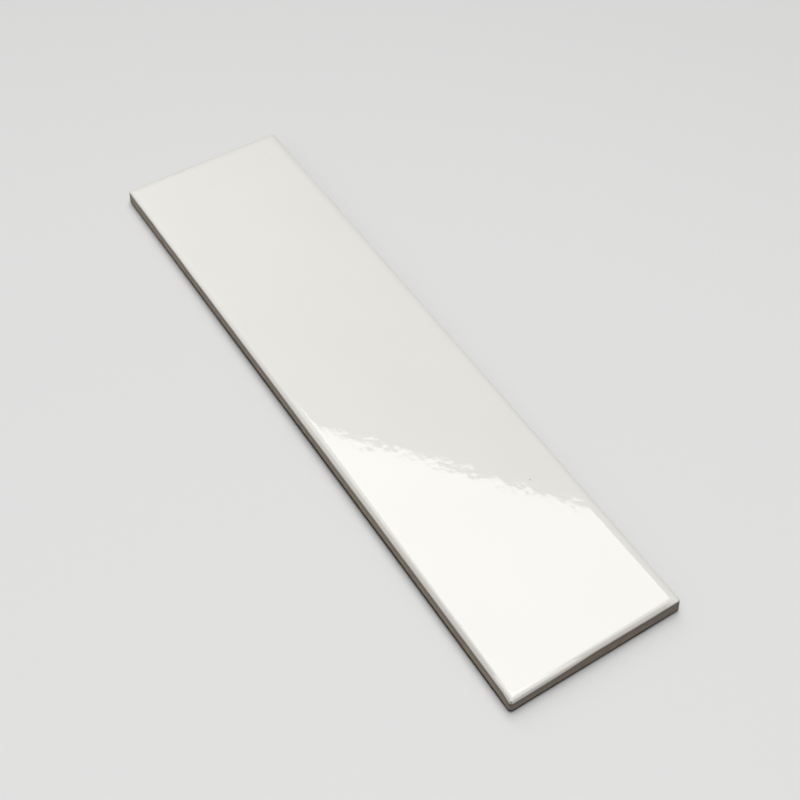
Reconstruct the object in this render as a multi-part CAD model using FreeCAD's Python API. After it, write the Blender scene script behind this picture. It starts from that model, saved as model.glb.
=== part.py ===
"""A long, thin glazed wall tile of the subway pattern, 75 x 300 mm, lying face up.

The tile is one pressed and fired piece of clay.  Its face is flat, with a narrow cushioned border that falls
away to a rounded arris on all four sides.  The walls lean in a little towards the face, so that the pressed
blank leaves its die, and they meet in small round corners.  The hidden back has a shallow key for the
adhesive: rows of recesses between a rim and a grid of ribs, which share the one plane that the tile lies on.

Frame: X along the length, Y across the width, Z up through the glazed face.  The origin is the middle of the
back plane.  Sizes are in millimetres.
"""

import FreeCAD, Part

import math
import os

from FreeCAD import Vector

# Outside sizes of the fired tile, measured to where the lines of the walls meet the back plane.
LENGTH = 300.0
WIDTH = 75.0
THICKNESS = 8.0

# The border of the face: a straight band that slopes out of the flat face and is rounded into it and into the
# wall.  The slope is in degrees from level.
BAND_SLOPE = 11.3
BAND_WIDTH = 0.1
BLEND_RADIUS = 14.0
ARRIS_RADIUS = 1.0

# The wall, from the arris down to the back, and the corners of the outline.  The draft is in degrees from
# upright.
WALL_DRAFT = 3.8
FOOT_RADIUS = 1.2
CORNER_RADIUS = 1.5

# The key on the back: rows and columns of recesses with sloping walls, between the rim and the ribs.
KEY_ROWS = 3
KEY_COLUMNS = 12
KEY_RIM = 6.0
KEY_RIB = 2.5
KEY_DEPTH = 0.6
KEY_WALL_RUN = 0.6
KEY_CORNER_RADIUS = 2.0

UP = Vector(0, 0, 1)
ORIGIN = Vector(0, 0, 0)


def rounded_corner(before, corner, after, radius):
    """Start, middle and end of the arc that rounds a corner of an outline."""
    to_before = (before - corner).normalize()
    to_after = (after - corner).normalize()
    half_angle = to_before.getAngle(to_after) / 2
    tangent_length = radius / math.tan(half_angle)
    to_centre = (to_before + to_after).normalize()
    middle = corner + to_centre * (radius / math.sin(half_angle) - radius)
    return corner + to_before * tangent_length, middle, corner + to_after * tangent_length


def border_edges():
    """Section of the border, from the back up the wall and in to where the face turns flat.

    X is the distance in from the outside of the tile, and Z the height above the back.
    """
    slope = math.radians(BAND_SLOPE)
    draft = math.radians(WALL_DRAFT)
    arris_turn = math.pi / 2 - draft - slope
    rounded_off = ARRIS_RADIUS * math.tan(arris_turn / 2) + BLEND_RADIUS * math.tan(slope / 2)
    down_band = Vector(math.cos(slope), 0, math.sin(slope)) * (rounded_off + BAND_WIDTH)
    arris_height = THICKNESS - down_band.z
    arris = Vector(arris_height * math.tan(draft), 0, arris_height)
    band_top = arris + down_band
    foot_arc = rounded_corner(Vector(1, 0, 0), ORIGIN, arris, FOOT_RADIUS)
    arris_arc = rounded_corner(ORIGIN, arris, band_top, ARRIS_RADIUS)
    blend_arc = rounded_corner(arris, band_top, band_top + Vector(1, 0, 0), BLEND_RADIUS)
    return [
        Part.Arc(*foot_arc).toShape(),
        Part.makeLine(foot_arc[-1], arris_arc[0]),
        Part.Arc(*arris_arc).toShape(),
        Part.makeLine(arris_arc[-1], blend_arc[0]),
        Part.Arc(*blend_arc).toShape(),
    ]


def first_and_last(edges):
    """The two open ends of edges that run on from one to the next."""
    return edges[0].Vertexes[0].Point, edges[-1].Vertexes[-1].Point


def filled(edges):
    """The flat face inside a closed ring of edges."""
    return Part.Face(Part.Wire(Part.__sortEdges__(edges)))


def bar(section_width, run):
    """The tile's section, that wide along X, run along Y between square ends."""
    left = [edge.translated(Vector(-section_width / 2, 0, 0)) for edge in border_edges()]
    right = [edge.mirror(ORIGIN, Vector(1, 0, 0)) for edge in left]
    foot, face = first_and_last(left)
    back_line = Part.makeLine(foot, Vector(-foot.x, 0, foot.z))
    face_line = Part.makeLine(face, Vector(-face.x, 0, face.z))
    section = filled(left + right + [back_line, face_line])
    return section.translated(Vector(0, -run / 2, 0)).extrude(Vector(0, run, 0))


def turned_corner():
    """The border turned a quarter round, with the corner of the outside at the origin.

    The tile lies along +X and +Y from it.
    """
    border = border_edges()
    foot, face = first_and_last(border)
    past_axis = face + Vector(CORNER_RADIUS, 0, 0)
    under_past_axis = Vector(past_axis.x, 0, foot.z)
    inner_sides = [
        Part.makeLine(face, past_axis),
        Part.makeLine(past_axis, under_past_axis),
        Part.makeLine(under_past_axis, foot),
    ]
    as_far_as_axis = Part.makePlane(THICKNESS, CORNER_RADIUS, ORIGIN, Vector(0, 1, 0), UP)
    section = filled(border + inner_sides).common(as_far_as_axis).Faces[0]
    section.translate(Vector(0, CORNER_RADIUS, 0))
    return section.revolve(Vector(CORNER_RADIUS, CORNER_RADIUS, 0), UP, 90)


def pressed_blank():
    """The body: the section run along both sides and mitred, with its four corners turned round."""
    lengthwise = bar(WIDTH, LENGTH).rotated(ORIGIN, UP, 90)
    body = bar(LENGTH, WIDTH).common(lengthwise)
    square_post = Part.makeBox(CORNER_RADIUS, CORNER_RADIUS, THICKNESS)
    round_post = turned_corner()
    square_posts = []
    round_posts = []
    for quarter_turns in range(4):
        along, across = (LENGTH, WIDTH) if quarter_turns % 2 == 0 else (WIDTH, LENGTH)
        for post, placed in ((square_post, square_posts), (round_post, round_posts)):
            in_first_corner = post.translated(Vector(-along / 2, -across / 2, 0))
            placed.append(in_first_corner.rotated(ORIGIN, UP, 90 * quarter_turns))
    return body.cut(square_posts).fuse(round_posts).removeSplitter()


def rounded_rectangle(length, width, radius, height):
    """A closed wire around the Z axis, in a level plane."""
    half = Vector(length / 2, width / 2, 0)
    corners = [Vector(sx * half.x, sy * half.y, height) for sx, sy in ((1, 1), (-1, 1), (-1, -1), (1, -1))]
    arcs = []
    for i, corner in enumerate(corners):
        arcs.append(rounded_corner(corners[i - 1], corner, corners[(i + 1) % 4], radius))
    edges = []
    for i, arc in enumerate(arcs):
        edges.append(Part.makeLine(arcs[i - 1][-1], arc[0]))
        edges.append(Part.Arc(*arc).toShape())
    return Part.Wire(edges)


def key_recesses():
    """The recesses of the key, standing in their places on the back plane."""
    length = (LENGTH - 2 * KEY_RIM - (KEY_COLUMNS - 1) * KEY_RIB) / KEY_COLUMNS
    width = (WIDTH - 2 * KEY_RIM - (KEY_ROWS - 1) * KEY_RIB) / KEY_ROWS
    mouth = rounded_rectangle(length, width, KEY_CORNER_RADIUS, 0)
    floor = rounded_rectangle(
        length - 2 * KEY_WALL_RUN, width - 2 * KEY_WALL_RUN, KEY_CORNER_RADIUS - KEY_WALL_RUN, KEY_DEPTH
    )
    recess = Part.makeLoft([mouth, floor], True, True)
    places = []
    for column in range(KEY_COLUMNS):
        for row in range(KEY_ROWS):
            x = (column - (KEY_COLUMNS - 1) / 2) * (length + KEY_RIB)
            y = (row - (KEY_ROWS - 1) / 2) * (width + KEY_RIB)
            places.append(recess.translated(Vector(x, y, 0)))
    return places


tile = pressed_blank().cut(key_recesses()).Solids[0]

os.makedirs("parts", exist_ok=True)
tile.exportStep("parts/tile.step")

box = tile.optimalBoundingBox()
print("valid", tile.isValid(), "faces", len(tile.Faces), "volume", round(tile.Volume, 2))
print("box", box)
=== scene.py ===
import math

import bpy
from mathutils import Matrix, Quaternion, Vector


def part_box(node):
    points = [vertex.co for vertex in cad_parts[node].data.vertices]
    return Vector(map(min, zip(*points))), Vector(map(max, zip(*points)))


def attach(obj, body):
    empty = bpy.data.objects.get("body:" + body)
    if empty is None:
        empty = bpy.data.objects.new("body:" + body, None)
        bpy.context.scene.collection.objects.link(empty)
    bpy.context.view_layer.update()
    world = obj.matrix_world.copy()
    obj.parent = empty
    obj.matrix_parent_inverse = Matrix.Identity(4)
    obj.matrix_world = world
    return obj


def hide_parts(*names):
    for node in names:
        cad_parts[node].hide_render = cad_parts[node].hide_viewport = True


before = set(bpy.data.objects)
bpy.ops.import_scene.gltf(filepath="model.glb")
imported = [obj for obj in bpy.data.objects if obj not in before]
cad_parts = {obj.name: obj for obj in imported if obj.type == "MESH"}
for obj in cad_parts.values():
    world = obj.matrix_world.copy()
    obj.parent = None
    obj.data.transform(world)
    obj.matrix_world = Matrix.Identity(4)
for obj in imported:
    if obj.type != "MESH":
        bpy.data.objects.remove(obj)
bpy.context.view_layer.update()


# The tile. One piece of clay, pressed in a steel die, glazed over its face and the top of its walls, and
# fired. The section of its border runs round all four sides and is mitred at the corners, where the
# outline is rounded. The back keeps the die's grid of shallow recesses, which keys the adhesive.
TILE_LOW, TILE_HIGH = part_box("tile")
THICKNESS = TILE_HIGH.z - TILE_LOW.z

BAND_SLOPE = math.radians(11.3)
BAND_WIDTH = 0.0001
BLEND_RADIUS = 0.014
ARRIS_RADIUS = 0.001
WALL_DRAFT = math.radians(3.8)
FOOT_RADIUS = 0.0012
CORNER_RADIUS = 0.0015

KEY_ROWS = 3
KEY_COLUMNS = 12
KEY_RIM = 0.006
KEY_RIB = 0.0025
KEY_DEPTH = 0.0006
KEY_WALL_RUN = 0.0006
KEY_CORNER_RADIUS = 0.002

# The outermost strip of the back, this wide, stands clear of the plane that the tile lies on.
RIM_RISE = 0.0004
RIM_WIDTH = 0.0035

# The walls' straight lines meet the back plane this far outside the widest part of the rounded foot.
FOOT_INSET = FOOT_RADIUS * ((1 + math.sin(WALL_DRAFT)) / math.cos(WALL_DRAFT) - 1)
LENGTH = TILE_HIGH.x - TILE_LOW.x + 2 * FOOT_INSET
WIDTH = TILE_HIGH.y - TILE_LOW.y + 2 * FOOT_INSET

# The fired tile isn't quite flat. It is arched along its length, so that it stands on its two ends, and
# its face is crowned across and slightly wavy.
ARCH = 0.0006
FACE_CROWN = 0.00004
FACE_WAVE = 0.000006
FACE_WAVES_PER_METRE = 38.0
FACE_WAVE_DETAIL = 2.0
FACE_WAVE_ROUGHNESS = 0.45

# Lines of the mesh across the border, and along and across the face between the borders. The border's
# lines end a little way into the flat face, at this many times the length of its blend.
BORDER_LINES = 60
FACE_LINES_ALONG = 240
FACE_LINES_ACROSS = 60
PAST_BLEND = 1.1

# Points in each rounding of the section and in each corner of a recess, and how close points are welded.
SECTION_ARC_POINTS = 12
KEY_ARC_POINTS = 6
WELD_DISTANCE = 0.000001

TILE_INPUTS = (
    ("Length", "NodeSocketFloat", LENGTH),
    ("Width", "NodeSocketFloat", WIDTH),
    ("Thickness", "NodeSocketFloat", THICKNESS),
    ("Band slope", "NodeSocketFloat", BAND_SLOPE),
    ("Band width", "NodeSocketFloat", BAND_WIDTH),
    ("Blend radius", "NodeSocketFloat", BLEND_RADIUS),
    ("Arris radius", "NodeSocketFloat", ARRIS_RADIUS),
    ("Wall draft", "NodeSocketFloat", WALL_DRAFT),
    ("Foot radius", "NodeSocketFloat", FOOT_RADIUS),
    ("Corner radius", "NodeSocketFloat", CORNER_RADIUS),
    ("Key rows", "NodeSocketInt", KEY_ROWS),
    ("Key columns", "NodeSocketInt", KEY_COLUMNS),
    ("Key rim", "NodeSocketFloat", KEY_RIM),
    ("Key rib", "NodeSocketFloat", KEY_RIB),
    ("Key depth", "NodeSocketFloat", KEY_DEPTH),
    ("Key wall run", "NodeSocketFloat", KEY_WALL_RUN),
    ("Key corner radius", "NodeSocketFloat", KEY_CORNER_RADIUS),
    ("Rim rise", "NodeSocketFloat", RIM_RISE),
    ("Rim width", "NodeSocketFloat", RIM_WIDTH),
    ("Arch", "NodeSocketFloat", ARCH),
    ("Face crown", "NodeSocketFloat", FACE_CROWN),
    ("Face wave", "NodeSocketFloat", FACE_WAVE),
    ("Border lines", "NodeSocketInt", BORDER_LINES),
    ("Face lines along", "NodeSocketInt", FACE_LINES_ALONG),
    ("Face lines across", "NodeSocketInt", FACE_LINES_ACROSS),
    ("Finish", "NodeSocketMaterial", None),
)


def feed(tree, socket, value):
    """Gives a socket a plain value, or joins it to another node's output."""
    if isinstance(value, bpy.types.NodeSocket):
        tree.links.new(value, socket)
    else:
        socket.default_value = value


def add_node(tree, kind, inputs=None, **settings):
    """A new node with its settings, and with its inputs fed."""
    node = tree.nodes.new(kind)
    for name, value in settings.items():
        setattr(node, name, value)
    for key, value in (inputs or {}).items():
        feed(tree, node.inputs[key], value)
    return node


def calculate(tree, operation, *values):
    """The output of one Math node."""
    return add_node(tree, "ShaderNodeMath", dict(enumerate(values)), operation=operation).outputs[0]


def half(tree, value):
    """Half of a value."""
    return calculate(tree, "MULTIPLY", value, 0.5)


def vector_of(tree, x=0.0, y=0.0, z=0.0):
    """One vector from its X, Y and Z."""
    return add_node(tree, "ShaderNodeCombineXYZ", {"X": x, "Y": y, "Z": z}).outputs[0]


def parts_of(tree, vector):
    """The X, Y and Z outputs of a vector."""
    return add_node(tree, "ShaderNodeSeparateXYZ", {"Vector": vector}).outputs


def less_than(tree, a, b):
    """True where the first value is the smaller one."""
    values = {"A": a, "B": b}
    return add_node(tree, "FunctionNodeCompare", values, data_type="FLOAT", operation="LESS_THAN").outputs[0]


def choose(tree, condition, if_false, if_true):
    """One of two values, picked by a condition."""
    values = {"Switch": condition, "False": if_false, "True": if_true}
    return add_node(tree, "GeometryNodeSwitch", values, input_type="FLOAT").outputs[0]


def by_index(tree, kind, values):
    """The first value for the first point, the second value for the second point, and so on."""
    node = add_node(tree, "GeometryNodeIndexSwitch", data_type=kind)
    while len(node.index_switch_items) < len(values):
        node.index_switch_items.new()
    feed(tree, node.inputs["Index"], tree.nodes.new("GeometryNodeInputIndex").outputs[0])
    for number, value in enumerate(values):
        feed(tree, node.inputs[number + 1], value)
    return node.outputs[0]


def rounding(tree, radius, turn):
    """How far each side of a corner is taken up when it is rounded off."""
    return calculate(tree, "MULTIPLY", radius, calculate(tree, "TANGENT", half(tree, turn)))


def border_section(tree, size):
    """A curve from the back out under the rim, up the wall and in over the border, and how far in it ends.

    X is the distance in from the outside of the tile, and Z the height.
    """
    slope = size["Band slope"]
    draft = size["Wall draft"]
    arris_turn = calculate(tree, "SUBTRACT", calculate(tree, "SUBTRACT", math.pi / 2, draft), slope)
    blend_length = rounding(tree, size["Blend radius"], slope)
    rounded_off = calculate(tree, "ADD", rounding(tree, size["Arris radius"], arris_turn), blend_length)
    down_band = calculate(tree, "ADD", rounded_off, size["Band width"])
    band_fall = calculate(tree, "MULTIPLY", down_band, calculate(tree, "SINE", slope))
    band_run = calculate(tree, "MULTIPLY", down_band, calculate(tree, "COSINE", slope))
    arris_height = calculate(tree, "SUBTRACT", size["Thickness"], band_fall)
    arris_in = calculate(tree, "MULTIPLY", arris_height, calculate(tree, "TANGENT", draft))
    band_top_in = calculate(tree, "ADD", arris_in, band_run)
    face_in = calculate(tree, "MULTIPLY_ADD", blend_length, PAST_BLEND, band_top_in)
    foot_in = calculate(tree, "MULTIPLY", size["Rim rise"], calculate(tree, "TANGENT", draft))
    on_back = vector_of(tree, x=size["Rim width"])
    on_rim = vector_of(tree, x=size["Rim width"], z=size["Rim rise"])
    foot = vector_of(tree, x=foot_in, z=size["Rim rise"])
    arris = vector_of(tree, x=arris_in, z=arris_height)
    band_top = vector_of(tree, x=band_top_in, z=size["Thickness"])
    on_face = vector_of(tree, x=face_in, z=size["Thickness"])
    corners = [on_back, on_rim, foot, arris, band_top, on_face]
    radii = [0.0, 0.0, size["Foot radius"], size["Arris radius"], size["Blend radius"], 0.0]
    line = add_node(tree, "GeometryNodeCurvePrimitiveLine").outputs[0]
    line = add_node(tree, "GeometryNodeResampleCurve", {"Curve": line, "Count": len(corners)}).outputs[0]
    bent = {"Geometry": line, "Position": by_index(tree, "VECTOR", corners)}
    bent = add_node(tree, "GeometryNodeSetPosition", bent).outputs[0]
    rounded = {"Curve": bent, "Radius": by_index(tree, "FLOAT", radii), "Count": SECTION_ARC_POINTS}
    return add_node(tree, "GeometryNodeFilletCurve", rounded, mode="POLY").outputs[0], face_in


def on_section(tree, section, share):
    """How far in, along and up the section is at a share of its length."""
    sample = add_node(tree, "GeometryNodeSampleCurve", {"Curves": section, "Factor": share}, mode="FACTOR")
    return parts_of(tree, sample.outputs["Position"])


def across_border(tree, section, face_in, line, size, span, face_lines):
    """How far in the mesh line of that number lies, and how high, counting from the outermost line."""
    share = calculate(tree, "MINIMUM", calculate(tree, "DIVIDE", line, size["Border lines"]), 1.0)
    border_in, _, height = on_section(tree, section, share)
    half_face = calculate(tree, "SUBTRACT", half(tree, span), face_in)
    step = calculate(tree, "DIVIDE", half_face, half(tree, face_lines))
    past_border = calculate(tree, "MAXIMUM", calculate(tree, "SUBTRACT", line, size["Border lines"]), 0.0)
    return calculate(tree, "MULTIPLY_ADD", past_border, step, border_in), height


def round_corner(tree, section, face_in, size, ring, other_line, ring_in):
    """Inside the corner radius each ring of the mesh turns a quarter round, with its mitre at 45 degrees.

    Gives whether a point is in such a corner, and how far in it lies from its nearer and its other side.
    """
    section_length = add_node(tree, "GeometryNodeCurveLength", {"Curve": section}).outputs[0]
    radius_to_face = calculate(tree, "SUBTRACT", face_in, size["Corner radius"])
    share = calculate(tree, "SUBTRACT", 1.0, calculate(tree, "DIVIDE", radius_to_face, section_length))
    centre_line = calculate(tree, "MULTIPLY", share, size["Border lines"])
    radius = on_section(tree, section, share)[0]
    from_start = calculate(tree, "SUBTRACT", centre_line, other_line)
    to_mitre = calculate(tree, "SUBTRACT", centre_line, ring)
    turn_share = calculate(tree, "DIVIDE", from_start, to_mitre)
    turn = calculate(tree, "MULTIPLY", turn_share, math.radians(45.0))
    ring_radius = calculate(tree, "MAXIMUM", calculate(tree, "SUBTRACT", radius, ring_in), 0.0)
    centre_in = calculate(tree, "MAXIMUM", radius, ring_in)
    towards_nearer = calculate(tree, "MULTIPLY", ring_radius, calculate(tree, "COSINE", turn))
    towards_other = calculate(tree, "MULTIPLY", ring_radius, calculate(tree, "SINE", turn))
    in_from_nearer = calculate(tree, "SUBTRACT", centre_in, towards_nearer)
    in_from_other = calculate(tree, "SUBTRACT", centre_in, towards_other)
    return less_than(tree, other_line, centre_line), in_from_nearer, in_from_other


def lines_in(tree, lines, grid):
    """The number of a grid line, counted from the side of the tile that it is nearer to."""
    return calculate(tree, "SUBTRACT", half(tree, lines), calculate(tree, "ABSOLUTE", grid))


def placed_in(tree, span, grid, inset):
    """The place that lies that far in from the side which the grid's point is nearer to."""
    from_middle = calculate(tree, "SUBTRACT", half(tree, span), inset)
    return calculate(tree, "MULTIPLY", calculate(tree, "SIGN", grid), from_middle)


def glazed_sheet(tree, size):
    """The face, the border and the walls as one sheet of mesh, open at the back."""
    section, face_in = border_section(tree, size)
    border_twice = calculate(tree, "MULTIPLY", size["Border lines"], 2.0)
    lines_along = calculate(tree, "ADD", size["Face lines along"], border_twice)
    lines_across = calculate(tree, "ADD", size["Face lines across"], border_twice)
    grid = add_node(
        tree,
        "GeometryNodeMeshGrid",
        {
            "Size X": lines_along,
            "Size Y": lines_across,
            "Vertices X": calculate(tree, "ADD", lines_along, 1.0),
            "Vertices Y": calculate(tree, "ADD", lines_across, 1.0),
        },
    )
    grid_x, grid_y, _ = parts_of(tree, tree.nodes.new("GeometryNodeInputPosition").outputs[0])
    line_x = lines_in(tree, lines_along, grid_x)
    line_y = lines_in(tree, lines_across, grid_y)
    in_x, height_x = across_border(
        tree, section, face_in, line_x, size, size["Length"], size["Face lines along"]
    )
    in_y, height_y = across_border(
        tree, section, face_in, line_y, size, size["Width"], size["Face lines across"]
    )
    end_is_nearer = less_than(tree, line_x, line_y)
    ring = calculate(tree, "MINIMUM", line_x, line_y)
    other_line = calculate(tree, "MAXIMUM", line_x, line_y)
    ring_in = choose(tree, end_is_nearer, in_y, in_x)
    height = choose(tree, end_is_nearer, height_y, height_x)

    in_corner, from_nearer, from_other = round_corner(
        tree, section, face_in, size, ring, other_line, ring_in
    )
    corner_x = choose(tree, end_is_nearer, from_other, from_nearer)
    corner_y = choose(tree, end_is_nearer, from_nearer, from_other)

    # Under the rim the mesh goes in again, and there each ring has a plain mitre.
    under_rim = calculate(tree, "MINIMUM", ring_in, size["Rim width"])
    inset_x = choose(tree, in_corner, calculate(tree, "MAXIMUM", in_x, under_rim), corner_x)
    inset_y = choose(tree, in_corner, calculate(tree, "MAXIMUM", in_y, under_rim), corner_y)
    x = placed_in(tree, size["Length"], grid_x, inset_x)
    y = placed_in(tree, size["Width"], grid_y, inset_y)
    formed = {"Geometry": grid.outputs[0], "Position": vector_of(tree, x, y, height)}
    formed = add_node(tree, "GeometryNodeSetPosition", formed).outputs[0]
    return add_node(tree, "GeometryNodeSetShadeSmooth", {"Geometry": formed}).outputs[0]


def key_sizes(tree, span, count, size):
    """The length of a recess and the distance from one to the next, for that many along the span."""
    ribs = calculate(tree, "MULTIPLY", calculate(tree, "SUBTRACT", count, 1.0), size["Key rib"])
    rims = calculate(tree, "MULTIPLY", size["Key rim"], 2.0)
    left = calculate(tree, "SUBTRACT", calculate(tree, "SUBTRACT", span, rims), ribs)
    recess = calculate(tree, "DIVIDE", left, count)
    return recess, calculate(tree, "ADD", recess, size["Key rib"])


def joined(tree, *shapes):
    """Several shapes as one."""
    join = tree.nodes.new("GeometryNodeJoinGeometry")
    for shape in shapes:
        tree.links.new(shape, join.inputs[0])
    return join.outputs[0]


def at_each(tree, places, shape):
    """A real copy of a shape at each place."""
    copies = add_node(tree, "GeometryNodeInstanceOnPoints", {"Points": places, "Instance": shape})
    return add_node(tree, "GeometryNodeRealizeInstances", {"Geometry": copies.outputs[0]}).outputs[0]


def filled_facing_down(tree, outline, mode):
    """The flat mesh inside an outline, facing down."""
    filled = add_node(tree, "GeometryNodeFillCurve", {"Curve": outline}, mode=mode).outputs[0]
    return add_node(tree, "GeometryNodeFlipFaces", {"Mesh": filled}).outputs[0]


def recess_shape(tree, mouth, length, width, size):
    """One recess without its mouth: a floor drawn in by the run of its sloping walls."""
    lid = filled_facing_down(tree, mouth, "NGONS")
    up = vector_of(tree, z=1.0)
    sunk = {"Mesh": lid, "Offset": up, "Offset Scale": size["Key depth"], "Individual": False}
    sunk = add_node(tree, "GeometryNodeExtrudeMesh", sunk, mode="FACES").outputs
    run_twice = calculate(tree, "MULTIPLY", size["Key wall run"], 2.0)
    shrink_x = calculate(tree, "SUBTRACT", 1.0, calculate(tree, "DIVIDE", run_twice, length))
    shrink_y = calculate(tree, "SUBTRACT", 1.0, calculate(tree, "DIVIDE", run_twice, width))
    shrink = vector_of(tree, shrink_x, shrink_y, 1.0)
    position = tree.nodes.new("GeometryNodeInputPosition").outputs[0]
    drawn_in = add_node(tree, "ShaderNodeVectorMath", {0: position, 1: shrink}, operation="MULTIPLY")
    recess = {"Geometry": sunk["Mesh"], "Selection": sunk["Top"], "Position": drawn_in.outputs[0]}
    return add_node(tree, "GeometryNodeSetPosition", recess).outputs[0]


def keyed_back(tree, sheet, size):
    """The back plane inside the foot of the sheet, with the key's recesses let into it."""
    length, pitch_along = key_sizes(tree, size["Length"], size["Key columns"], size)
    width, pitch_across = key_sizes(tree, size["Width"], size["Key rows"], size)
    steps_along = calculate(tree, "SUBTRACT", size["Key columns"], 1.0)
    steps_across = calculate(tree, "SUBTRACT", size["Key rows"], 1.0)
    places = add_node(
        tree,
        "GeometryNodeMeshGrid",
        {
            "Size X": calculate(tree, "MULTIPLY", pitch_along, steps_along),
            "Size Y": calculate(tree, "MULTIPLY", pitch_across, steps_across),
            "Vertices X": size["Key columns"],
            "Vertices Y": size["Key rows"],
        },
    ).outputs[0]
    sides = {"Width": length, "Height": width}
    rectangle = add_node(tree, "GeometryNodeCurvePrimitiveQuadrilateral", sides).outputs[0]
    mouth = {"Curve": rectangle, "Radius": size["Key corner radius"], "Count": KEY_ARC_POINTS}
    mouth = add_node(tree, "GeometryNodeFilletCurve", mouth, mode="POLY").outputs[0]

    # The foot of the sheet is its open edge, where only one face meets each line.
    faces_there = tree.nodes.new("GeometryNodeInputMeshEdgeNeighbors").outputs[0]
    open_edge = less_than(tree, faces_there, 1.5)
    foot = add_node(tree, "GeometryNodeMeshToCurve", {"Mesh": sheet, "Selection": open_edge}).outputs[0]
    plane = filled_facing_down(tree, joined(tree, at_each(tree, places, mouth), foot), "TRIANGLES")
    recesses = at_each(tree, places, recess_shape(tree, mouth, length, width, size))
    back = {"Geometry": joined(tree, recesses, plane), "Shade Smooth": False}
    return add_node(tree, "GeometryNodeSetShadeSmooth", back).outputs[0]


def fired(tree, pressed, size):
    """The tile with the arch, the crown and the slow waves that it has after firing.

    Each point keeps its depth below the pressed face as an attribute, because the glaze follows the face.
    """
    position = tree.nodes.new("GeometryNodeInputPosition").outputs[0]
    x, y, z = parts_of(tree, position)
    share_of_height = calculate(tree, "DIVIDE", z, size["Thickness"])
    along = calculate(tree, "DIVIDE", x, half(tree, size["Length"]))
    across = calculate(tree, "DIVIDE", y, half(tree, size["Width"]))
    rise = calculate(tree, "SUBTRACT", 1.0, calculate(tree, "POWER", along, 2.0))
    arch = calculate(tree, "MULTIPLY", size["Arch"], rise)
    thinner = calculate(tree, "MULTIPLY", size["Arch"], share_of_height)
    crown = calculate(tree, "MULTIPLY", size["Face crown"], calculate(tree, "POWER", across, 2.0))
    waves = {
        "Vector": position,
        "Scale": FACE_WAVES_PER_METRE,
        "Detail": FACE_WAVE_DETAIL,
        "Roughness": FACE_WAVE_ROUGHNESS,
    }
    waves = add_node(tree, "ShaderNodeTexNoise", waves).outputs[0]
    wave = calculate(tree, "MULTIPLY", waves, size["Face wave"])
    face_fall = calculate(tree, "MULTIPLY", calculate(tree, "ADD", crown, wave), share_of_height)
    fall = calculate(tree, "ADD", thinner, face_fall)
    below_face = calculate(tree, "SUBTRACT", size["Thickness"], z)
    marked = add_node(
        tree,
        "GeometryNodeStoreNamedAttribute",
        {"Geometry": pressed, "Name": "below_face", "Value": below_face},
        data_type="FLOAT",
        domain="POINT",
    ).outputs[0]
    lift = vector_of(tree, z=calculate(tree, "SUBTRACT", arch, fall))
    return add_node(tree, "GeometryNodeSetPosition", {"Geometry": marked, "Offset": lift}).outputs[0]


def tile_tree():
    """The node tree that forms the whole tile from its sizes."""
    tree = bpy.data.node_groups.new("pressed_tile", "GeometryNodeTree")
    for name, kind, _ in TILE_INPUTS:
        tree.interface.new_socket(name=name, in_out="INPUT", socket_type=kind)
    tree.interface.new_socket(name="Tile", in_out="OUTPUT", socket_type="NodeSocketGeometry")
    size = tree.nodes.new("NodeGroupInput").outputs
    sheet = glazed_sheet(tree, size)
    pressed = joined(tree, keyed_back(tree, sheet, size), sheet)
    welded = {"Geometry": pressed, "Distance": WELD_DISTANCE}
    welded = add_node(tree, "GeometryNodeMergeByDistance", welded).outputs[0]
    real = {"Geometry": fired(tree, welded, size)}
    real = add_node(tree, "GeometryNodeRealizeInstances", real).outputs[0]
    finished = {"Geometry": real, "Material": size["Finish"]}
    finished = add_node(tree, "GeometryNodeSetMaterial", finished).outputs[0]
    tree.links.new(finished, tree.nodes.new("NodeGroupOutput").inputs[0])
    return tree


def form_tile(finish):
    """The tile as a plain mesh object in its place."""
    former = bpy.data.objects.new("tile_former", bpy.data.meshes.new("tile_former"))
    bpy.context.scene.collection.objects.link(former)
    forming = former.modifiers.new("pressed_tile", "NODES")
    forming.node_group = tile_tree()
    sockets = {item.name: item.identifier for item in forming.node_group.interface.items_tree}
    for name, _, value in TILE_INPUTS:
        forming[sockets[name]] = finish if name == "Finish" else value
    formed = former.evaluated_get(bpy.context.evaluated_depsgraph_get())
    mesh = bpy.data.meshes.new_from_object(formed)
    mesh.name = "glazed_tile"
    tile = bpy.data.objects.new("glazed_tile", mesh)
    bpy.context.scene.collection.objects.link(tile)
    bpy.data.objects.remove(former)
    return tile


# The finish is worked out in millimetres. X and Y count from the middle of the tile, depths count down
# from the face, and the height of the painted shade at the foot counts up from the plane that the tile lies
# on. A pair is where a change starts and where it is complete.
MILLIMETRES = 1000.0
GLAZE_COLOUR = (0.875, 0.857, 0.813, 1.0)
THIN_GLAZE_COLOUR = (0.145, 0.108, 0.069, 1.0)
CLAY_COLOUR = (0.34, 0.283, 0.222, 1.0)
# The last colour is painted shade, near black, for the foot of the walls and the pits of the small faults.
PAINTED_SHADE_COLOUR = (0.02, 0.013, 0.007, 1.0)

FAR_PART_IN_X = (60.0, -110.0)
NEAR_END_IN_X = (144.0, 149.0)
LEFT_CORNER_IN_Y = (4.0, -30.0)
RIGHT_SIDE_IN_Y = (30.0, 35.0)

# The glaze is thick down to one wandering edge and has run as far as another. Both hang lower round the
# near left corner and over the far part, and end higher on the near end.
THICK_DEPTH = 0.72
THICK_WANDER = 0.2
THICK_FADE = (0.35, -0.25)
RUN_DEPTH = 2.9
RUN_WANDER = 1.2
RUN_FADE = (0.12, -0.12)
LEFT_CORNER_HANG = 0.85
FAR_PART_HANG = 0.08
NEAR_END_LIFT = 0.15

# The glaze is thinner on the slope of the border, but less so along the right side. Over the far part the
# slope is painted lighter, as a painted reflection of the room's glow.
SLOPE_DEPTH = (0.09, 0.2)
SLOPE_THINNESS = 0.31
FAR_PART_PAINTED_REFLECTION = 0.3
RIGHT_SIDE_THINNESS = 0.15
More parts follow.
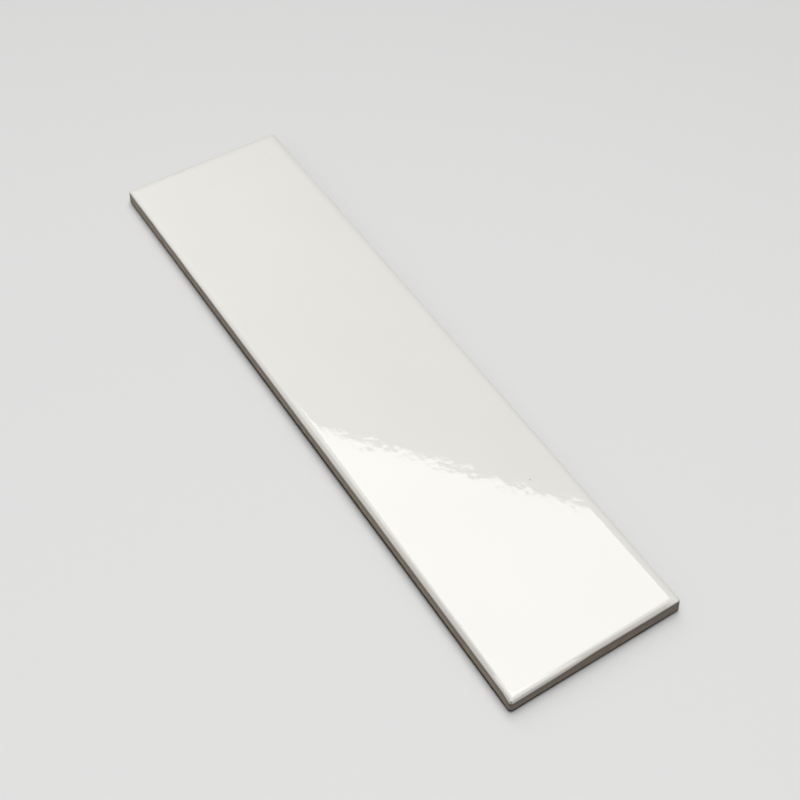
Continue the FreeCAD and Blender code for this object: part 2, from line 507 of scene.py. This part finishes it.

# The foot is painted dark, as painted shade of the gap under the arched tile. The painted shade is highest
# near the middle of the length and falls off as the square of the distance from there.
PAINTED_SHADE_HEIGHT = 2.95
PAINTED_SHADE_MIDDLE = 45.0
PAINTED_SHADE_FALL = 0.25
PAINTED_SHADE_FALL_SPAN = 100.0
PAINTED_SHADE_WANDER = 0.3
NEAR_END_PAINTED_SHADE_DROP = 0.5
PAINTED_SHADE_FADE = (0.3, -0.3)
PAINTED_SHADE_STRENGTH = 0.95

# The wall of the near end is painted darker than the others by this share, as painted shade.
NEAR_END_PAINTED_SHADE = 0.25

# Small faults, each with its X, Y, depth and radius: two pinholes in the face, and a nick of two specks
# in the near left corner, with painted shade inside them. Their edges are soft over this share of the
# radius to either side.
PINHOLES = ((-133.4, 26.8, 0.0, 0.13), (78.0, 22.0, 0.0, 0.2))
NICKS = ((149.12, -36.62, 0.75, 0.3), (149.25, -36.75, 1.9, 0.28))
FAULT_EDGE = 0.4
FAULT_PAINTED_SHADE = 0.75
FAULT_SINK = 0.1

# Irregular patterns, each with its waves to a millimetre, detail, roughness and swing to either side.
SLOW_WANDER = (0.07, 2.0, 0.5, 0.9)
QUICK_WANDER = (1.1, 3.0, 0.5, 0.18)
GLAZE_CLOUDS = (0.03, 3.0, 0.5, 0.02)
GLAZE_RIPPLE = (0.17, 2.0, 0.5, 0.018)
CLAY_MOTTLE = (0.35, 4.0, 0.6, 0.45)
CLAY_SPECKS = (5.0, 2.0, 0.7, 0.22)
CLAY_POLISH = (3.0, 2.0, 0.5, 0.15)
CLAY_PORES = (2.6, 4.0, 0.65, 0.05)

# The gloss of the glaze is a coat, which the run glaze has only a part of. The clay under it is dull.
GLAZE_IOR = 1.58
GLAZE_ROUGHNESS = 0.035
RUN_GLOSS = 0.6
CLAY_SHINE = 0.08
CLAY_ROUGHNESS = 0.72
UNDER_GLAZE_SMOOTHER = 0.4


def ramp(tree, value, start, end, at_start=0.0, at_end=1.0):
    """Goes smoothly from one number to another while a value goes from start to end, up or down."""
    if start < end:
        span = {"From Min": start, "From Max": end, "To Min": at_start, "To Max": at_end}
    else:
        span = {"From Min": end, "From Max": start, "To Min": at_end, "To Max": at_start}
    node = add_node(tree, "ShaderNodeMapRange", {"Value": value, **span}, interpolation_type="SMOOTHSTEP")
    return node.outputs["Result"]


def pattern(tree, place, kind):
    """An irregular pattern that swings to either side of 0."""
    per_millimetre, detail, roughness, swing = kind
    noise = {"Vector": place, "Scale": per_millimetre, "Detail": detail, "Roughness": roughness}
    noise = add_node(tree, "ShaderNodeTexNoise", noise).outputs[0]
    return calculate(tree, "MULTIPLY", calculate(tree, "SUBTRACT", noise, 0.5), swing * 2)


def scaled(tree, vector, by):
    """A vector or a colour made larger or smaller."""
    return add_node(tree, "ShaderNodeVectorMath", {0: vector, "Scale": by}, operation="SCALE").outputs[0]


def mixed(tree, share, first, second):
    """A colour between two others. The numbers are those of the share's and the two colours' sockets."""
    return add_node(tree, "ShaderNodeMix", {0: share, 6: first, 7: second}, data_type="RGBA").outputs[2]


def glazed_down_to(tree, down, wander, hanging, depth, wandering, fade):
    """1 as far down as a wandering edge and 0 below it."""
    edge = calculate(tree, "ADD", calculate(tree, "MULTIPLY_ADD", wander, wandering, depth), hanging)
    return ramp(tree, calculate(tree, "SUBTRACT", down, edge), *fade)


def foot_painted_shade(tree, x, down, wander, near_end):
    """How much painted shade the clay has: fully at the foot of the wall and not at all above the shade's
    top.
    """
    from_middle = calculate(tree, "SUBTRACT", x, PAINTED_SHADE_MIDDLE)
    from_middle = calculate(tree, "MULTIPLY", from_middle, 1.0 / PAINTED_SHADE_FALL_SPAN)
    squared = calculate(tree, "MULTIPLY", from_middle, from_middle)
    top = calculate(tree, "MULTIPLY_ADD", squared, -PAINTED_SHADE_FALL, PAINTED_SHADE_HEIGHT)
    top = calculate(tree, "MULTIPLY_ADD", wander, PAINTED_SHADE_WANDER, top)
    top = calculate(tree, "MULTIPLY_ADD", near_end, -NEAR_END_PAINTED_SHADE_DROP, top)
    up = calculate(tree, "SUBTRACT", THICKNESS * MILLIMETRES, down)
    return ramp(tree, calculate(tree, "SUBTRACT", up, top), *PAINTED_SHADE_FADE, 0.0, PAINTED_SHADE_STRENGTH)


def small_faults(tree, x, y, down):
    """1 inside a pinhole or a nick and 0 outside them."""
    place = vector_of(tree, x=x, y=y, z=down)
    faults = 0.0
    for *middle, radius in PINHOLES + NICKS:
        away = add_node(tree, "ShaderNodeVectorMath", {0: place, 1: middle}, operation="DISTANCE")
        outside = radius * (1 + FAULT_EDGE)
        inside = radius * (1 - FAULT_EDGE)
        faults = calculate(tree, "MAXIMUM", faults, ramp(tree, away.outputs["Value"], outside, inside))
    return faults


def glaze_over_clay():
    """Node group: glaze that is thick on the face, thin on its border and run down over the bare clay."""
    group = bpy.data.node_groups.new("glaze_over_clay", "ShaderNodeTree")
    for name, value in (
        ("Glaze", GLAZE_COLOUR),
        ("Thin Glaze", THIN_GLAZE_COLOUR),
        ("Clay", CLAY_COLOUR),
        ("Painted Shade", PAINTED_SHADE_COLOUR),
    ):
        colour = group.interface.new_socket(name=name, in_out="INPUT", socket_type="NodeSocketColor")
        colour.default_value = value
    group.interface.new_socket(name="Base Color", in_out="OUTPUT", socket_type="NodeSocketColor")
    for name in ("Roughness", "Coat Weight", "Height"):
        group.interface.new_socket(name=name, in_out="OUTPUT", socket_type="NodeSocketFloat")
    given = group.nodes.new("NodeGroupInput").outputs
    result = group.nodes.new("NodeGroupOutput").inputs

    # Where a point is, and how far down from the face.
    metres = group.nodes.new("ShaderNodeTexCoord").outputs["Object"]
    place = scaled(group, metres, MILLIMETRES)
    x, y, _ = parts_of(group, place)
    depth = add_node(group, "ShaderNodeAttribute", attribute_type="GEOMETRY", attribute_name="below_face")
    down = calculate(group, "MULTIPLY", depth.outputs["Fac"], MILLIMETRES)
    far_part = ramp(group, x, *FAR_PART_IN_X)
    near_end = ramp(group, x, *NEAR_END_IN_X)
    left_corner = calculate(group, "MULTIPLY", near_end, ramp(group, y, *LEFT_CORNER_IN_Y))

    # How much of the glaze there is: all of it where it is thick, and some where it has run.
    hanging = calculate(group, "MULTIPLY", far_part, FAR_PART_HANG)
    hanging = calculate(group, "MULTIPLY_ADD", left_corner, LEFT_CORNER_HANG, hanging)
    hanging = calculate(group, "MULTIPLY_ADD", near_end, -NEAR_END_LIFT, hanging)
    wander = pattern(group, place, SLOW_WANDER)
    wander = calculate(group, "ADD", wander, pattern(group, place, QUICK_WANDER))
    thick = glazed_down_to(group, down, wander, hanging, THICK_DEPTH, THICK_WANDER, THICK_FADE)
    run = glazed_down_to(group, down, wander, hanging, RUN_DEPTH, RUN_WANDER, RUN_FADE)
    glossy = calculate(group, "MAXIMUM", thick, calculate(group, "MULTIPLY", run, RUN_GLOSS))
    group.links.new(glossy, result["Coat Weight"])

    # The clay of the walls, mottled, with painted shade at the foot and painted shade over the near end.
    mottle = pattern(group, place, CLAY_MOTTLE)
    mottle = calculate(group, "ADD", mottle, pattern(group, place, CLAY_SPECKS))
    # Painted shade at the foot: the shadow of the gap under the arched tile, painted onto the clay.
    foot_shade = foot_painted_shade(group, x, down, wander, near_end)
    clay = mixed(group, foot_shade, given["Clay"], given["Painted Shade"])
    clay = scaled(group, clay, calculate(group, "ADD", 1.0, mottle))
    walls = mixed(group, run, clay, given["Thin Glaze"])
    # Painted shade: the walls of the near end are painted darker.
    walls = scaled(group, walls, calculate(group, "MULTIPLY_ADD", near_end, -NEAR_END_PAINTED_SHADE, 1.0))

    # The glaze of the face, and over it the small faults with painted shade in them.
    clouds = calculate(group, "ADD", 1.0, pattern(group, place, GLAZE_CLOUDS))
    glaze = scaled(group, given["Glaze"], clouds)
    # Painted reflection: over the far part the slope's darkening is mostly taken away.
    thinness = calculate(group, "MULTIPLY_ADD", far_part, -FAR_PART_PAINTED_REFLECTION, SLOPE_THINNESS)
    right_side = ramp(group, y, *RIGHT_SIDE_IN_Y, 1.0, RIGHT_SIDE_THINNESS)
    thinness = calculate(group, "MULTIPLY", thinness, right_side)
    on_slope = calculate(group, "MULTIPLY", ramp(group, down, *SLOPE_DEPTH), thinness)
    face = mixed(group, on_slope, glaze, given["Thin Glaze"])
    faults = small_faults(group, x, y, down)
    coloured = mixed(group, thick, walls, face)
    # Painted shade inside the pinholes and the nick.
    coloured = mixed(group, calculate(group, "MULTIPLY", faults, FAULT_PAINTED_SHADE), coloured, given["Painted Shade"])
    group.links.new(coloured, result["Base Color"])

    roughness = calculate(group, "ADD", CLAY_ROUGHNESS, pattern(group, place, CLAY_POLISH))
    roughness = calculate(group, "MULTIPLY_ADD", thick, -UNDER_GLAZE_SMOOTHER, roughness)
    group.links.new(roughness, result["Roughness"])

    # The glaze ripples, the bare clay has pores, and the small faults are sunk.
    bare = calculate(group, "SUBTRACT", 1.0, glossy)
    relief = pattern(group, place, GLAZE_RIPPLE)
    relief = calculate(group, "MULTIPLY_ADD", pattern(group, place, CLAY_PORES), bare, relief)
    relief = calculate(group, "MULTIPLY_ADD", faults, -FAULT_SINK, relief)
    group.links.new(relief, result["Height"])
    return group


def glazed_clay():
    """Off-white gloss glaze over a pale brown clay."""
    material = bpy.data.materials.new("glazed_clay")
    material.use_nodes = True
    tree = material.node_tree
    shader = tree.nodes["Principled BSDF"]
    finish = tree.nodes.new("ShaderNodeGroup")
    finish.node_tree = glaze_over_clay()
    for name in ("Base Color", "Roughness", "Coat Weight"):
        tree.links.new(finish.outputs[name], shader.inputs[name])
    relief = {"Height": finish.outputs["Height"], "Distance": 1.0 / MILLIMETRES}
    relief = add_node(tree, "ShaderNodeBump", relief).outputs[0]
    tree.links.new(relief, shader.inputs["Normal"])
    tree.links.new(relief, shader.inputs["Coat Normal"])
    shader.inputs["Coat IOR"].default_value = GLAZE_IOR
    shader.inputs["Coat Roughness"].default_value = GLAZE_ROUGHNESS
    shader.inputs["Specular IOR Level"].default_value = CLAY_SHINE
    return material


tile = form_tile(glazed_clay())
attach(tile, "root")
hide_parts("tile")


# The floor. A plain pale sheet that the tile lies on, dull, and wide enough to fill the view from every
# side.
FLOOR_SIZE = 8.0
FLOOR_COLOUR = (0.83, 0.83, 0.825, 1.0)
FLOOR_ROUGHNESS = 0.9
FLOOR_SHINE = 0.1

reach = FLOOR_SIZE / 2
floor_corners = [(-reach, -reach, 0), (reach, -reach, 0), (reach, reach, 0), (-reach, reach, 0)]
floor_mesh = bpy.data.meshes.new("floor")
floor_mesh.from_pydata(floor_corners, [], [(0, 1, 2, 3)])
floor = bpy.data.objects.new("floor", floor_mesh)
bpy.context.scene.collection.objects.link(floor)
floor_finish = bpy.data.materials.new("floor")
floor_finish.use_nodes = True
floor_shader = floor_finish.node_tree.nodes["Principled BSDF"]
floor_shader.inputs["Base Color"].default_value = FLOOR_COLOUR
floor_shader.inputs["Roughness"].default_value = FLOOR_ROUGHNESS
floor_shader.inputs["Specular IOR Level"].default_value = FLOOR_SHINE
floor_mesh.materials.append(floor_finish)


# The studio light. A tall softbox stands beyond the tile's far right side, and the near part of the face
# mirrors it. A round one above the near end gives most of the rest of the light. The room glows beyond
# the far end, is a little bright on the left and overhead, and is dim elsewhere.
PANEL_FOOT_LEFT = Vector((-0.74, 0.251, 1.0))
PANEL_FOOT_RIGHT = Vector((-0.171, 0.690, 1.0))
PANEL_HEIGHT = 2.0
PANEL_RADIANCE = 3.3
TOP_PLACE = Vector((0.2, -0.05, 2.0))
TOP_DIAMETER = 1.6
TOP_RADIANCE = 3.35

# The room's brightness all round, and what it has more of towards some sides. The higher the power, the
# smaller is the part of the room that the brightness is gathered in.
ROOM_COLOUR = (1.0, 1.0, 1.0, 1.0)
ROOM_DIM = 0.04
CEILING_SIDE = Vector((0.0, 0.0, 1.0))
CEILING_BRIGHTNESS = 0.2
CEILING_POWER = 1.0
LEFT_SIDE = Vector((-0.25, -0.66, 0.7))
LEFT_BRIGHTNESS = 0.2
LEFT_POWER = 2.0
GLOW_SIDE = Vector((-0.732, 0.129, 0.669))
GLOW_BRIGHTNESS = 1.35
GLOW_POWER = 30.0


def softbox(name, shape, length, width, radiance, place, turn=(0.0, 0.0, 0.0)):
    """An area lamp of an even radiance, which shines straight down unless it is turned."""
    data = bpy.data.lights.new(name, "AREA")
    data.shape = shape
    data.size = length
    data.size_y = width
    area = length * width * (math.pi / 4 if shape == "DISK" else 1.0)
    data.energy = radiance * math.pi * area
    lamp = bpy.data.objects.new(name, data)
    lamp.location = place
    lamp.rotation_euler = turn
    bpy.context.scene.collection.objects.link(lamp)


panel_run = PANEL_FOOT_RIGHT - PANEL_FOOT_LEFT
panel_middle = (PANEL_FOOT_LEFT + PANEL_FOOT_RIGHT) / 2 + Vector((0.0, 0.0, PANEL_HEIGHT / 2))
panel_turn = (math.radians(-90.0), 0.0, math.atan2(panel_run.y, panel_run.x))
softbox(
    "tall_softbox", "RECTANGLE", panel_run.length, PANEL_HEIGHT, PANEL_RADIANCE, panel_middle, panel_turn
)
softbox("top_softbox", "DISK", TOP_DIAMETER, TOP_DIAMETER, TOP_RADIANCE, TOP_PLACE)

world = bpy.data.worlds.new("studio")
bpy.context.scene.world = world
world.use_nodes = True
room = world.node_tree
direction = room.nodes.new("ShaderNodeTexCoord").outputs["Generated"]


def towards(side, power):
    """1 straight towards a side of the room, and 0 from 90 degrees away."""
    sides = {0: direction, 1: side.normalized()}
    facing = add_node(room, "ShaderNodeVectorMath", sides, operation="DOT_PRODUCT").outputs["Value"]
    return calculate(room, "POWER", calculate(room, "MAXIMUM", facing, 0.0), power)


strength = ROOM_DIM
for side, power, brightness in (
    (CEILING_SIDE, CEILING_POWER, CEILING_BRIGHTNESS),
    (LEFT_SIDE, LEFT_POWER, LEFT_BRIGHTNESS),
    (GLOW_SIDE, GLOW_POWER, GLOW_BRIGHTNESS),
):
    strength = calculate(room, "MULTIPLY_ADD", towards(side, power), brightness, strength)
room.links.new(strength, room.nodes["Background"].inputs["Strength"])
room.nodes["Background"].inputs["Color"].default_value = ROOM_COLOUR


# The camera stands beyond the tile's near left corner and looks down along it, with its lens shifted a
# little sideways and its frame turned slightly.
CAMERA_PLACE = Vector((0.3102, -0.179, 0.4329))
CAMERA_AIM = Vector((0.0204, 0.0154, 0.0))
CAMERA_ROLL = math.radians(1.02)
CAMERA_LENS = 62.11
CAMERA_SENSOR = 36.0
CAMERA_SHIFT = -0.04

camera_data = bpy.data.cameras.new("camera")
camera_data.lens = CAMERA_LENS
camera_data.sensor_width = CAMERA_SENSOR
camera_data.shift_x = CAMERA_SHIFT
camera = bpy.data.objects.new("camera", camera_data)
camera.location = CAMERA_PLACE
camera.rotation_mode = "QUATERNION"
level = (CAMERA_AIM - CAMERA_PLACE).to_track_quat("-Z", "Y")
camera.rotation_quaternion = level @ Quaternion((0.0, 0.0, 1.0), CAMERA_ROLL)
bpy.context.scene.collection.objects.link(camera)
bpy.context.scene.camera = camera

bpy.context.scene.view_settings.view_transform = "Standard"
